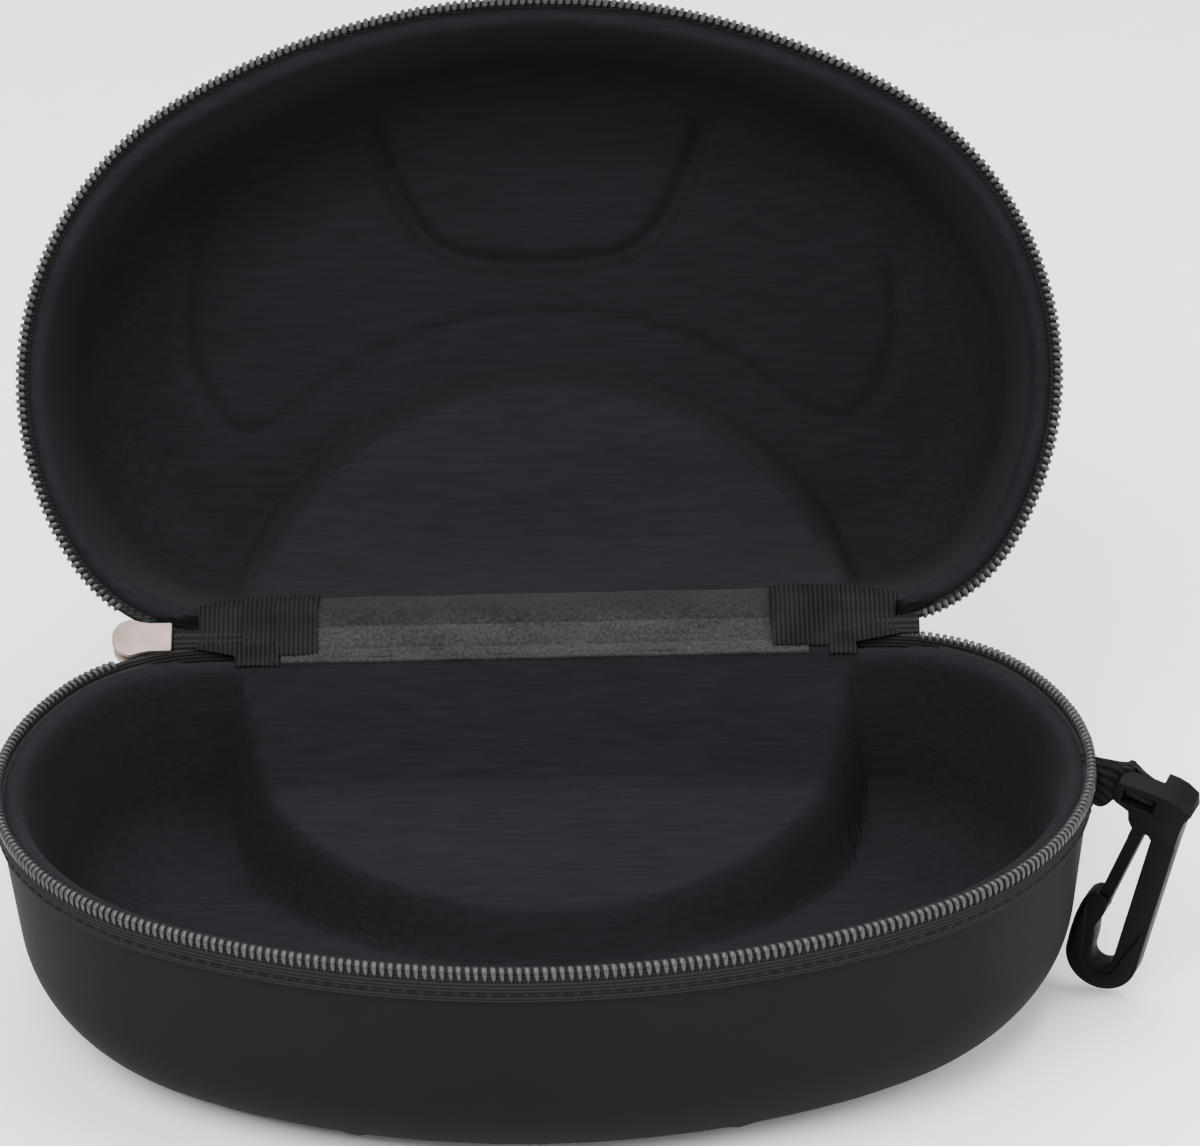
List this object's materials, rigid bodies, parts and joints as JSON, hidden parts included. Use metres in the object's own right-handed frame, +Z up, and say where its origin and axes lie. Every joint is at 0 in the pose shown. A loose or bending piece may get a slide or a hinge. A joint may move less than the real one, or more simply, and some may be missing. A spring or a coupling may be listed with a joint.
{
  "type": "sports goggle case",
  "caption": "Moulded clamshell case for goggles, standing open: two lined foam shells with a zip, a fabric hinge, a slider with puller and a plastic snap hook on a webbing loop.",
  "frame": {"origin": "centre of the flat bottom that the base stands on", "axes": "+Z up, +X to the right along the hinge line, +Y back towards the hinge"},
  "size_m": [0.2316, 0.2215, 0.1658],
  "materials": {
    "outer_fabric": "matte laminated fabric over foam",
    "foam": "closed-cell moulded foam",
    "lining_knit": "brushed knit",
    "zip_tape": "woven polyester tape",
    "zip_coil": "nylon coil",
    "thread": "polyester thread",
    "hinge_fabric": "brushed fabric",
    "grosgrain": "ribbed ribbon",
    "nickel": "warm nickel plate",
    "webbing": "woven webbing",
    "hook_plastic": "moulded acetal"
  },
  "bodies": {
    "base": {"base_outer_skin": "outer_fabric", "base_foam_core": "foam", "base_lining": "lining_knit", "base_zip_tape": "zip_tape", "base_zip_coil": "zip_coil", "base_zip_stitching": "thread", "base_hinge_stitching": "thread", "hook_strap": "webbing", "hinge_inner_strip": "hinge_fabric", "hinge_outer_strip": "outer_fabric", "end_tab_left": "grosgrain", "end_tab_right": "grosgrain"},
    "lid": {"lid_outer_skin": "outer_fabric", "lid_foam_core": "foam", "lid_lining": "lining_knit", "lid_zip_tape": "zip_tape", "lid_zip_coil": "zip_coil", "lid_zip_stitching": "thread", "lid_hinge_stitching": "thread"},
    "zip_ends": {"zip_chain_left": "zip_coil", "zip_chain_right": "zip_coil"},
    "slider": {"slider_body": "nickel"},
    "puller": {"slider_puller": "nickel"},
    "hook": {"hook_frame": "hook_plastic"},
    "gate": {"hook_gate": "hook_plastic"}
  },
  "joints": [
    {"name": "lid_hinge", "type": "hinge", "parent": "base", "child": "lid", "pos_m": [0, 0.064, 0.05], "axis": [-1, 0, 0], "range_deg": [-116, 9], "deforming": ["hinge_inner_strip", "hinge_outer_strip", "end_tab_left", "end_tab_right"]},
    {"name": "zip_half_turn", "type": "hinge", "parent": "base", "child": "zip_ends", "pos_m": [0, 0.064, 0.05], "axis": [-1, 0, 0], "range_deg": [-58, 4.5]},
    {"name": "slider_slide", "type": "slide", "parent": "zip_ends", "child": "slider", "axis": [1, 0, 0], "range_m": [0, 0.008], "deforming": ["zip_chain_left"]},
    {"name": "puller_swing", "type": "hinge", "parent": "slider", "child": "puller", "pos_m": [-0.081, 0.06578, 0.04716], "axis": [0, 0.848, 0.5299], "range_deg": [-60, 60]},
    {"name": "hook_swing", "type": "hinge", "parent": "base", "child": "hook", "pos_m": [0.117, 0, 0.04499], "axis": [0.8883, -0.3955, -0.2334], "range_deg": [-1.5, 75]},
    {"name": "gate_press", "type": "hinge", "parent": "hook", "child": "gate", "pos_m": [0.11388, 0.00139, 0.03933], "axis": [-0.4067, -0.9135, 0], "range_deg": [0, 11], "stiffness_Nm_per_rad": 0.1}
  ],
  "couplings": [
    {"joint": "zip_half_turn", "follows": "lid_hinge", "ratio": 0.5}
  ]
}
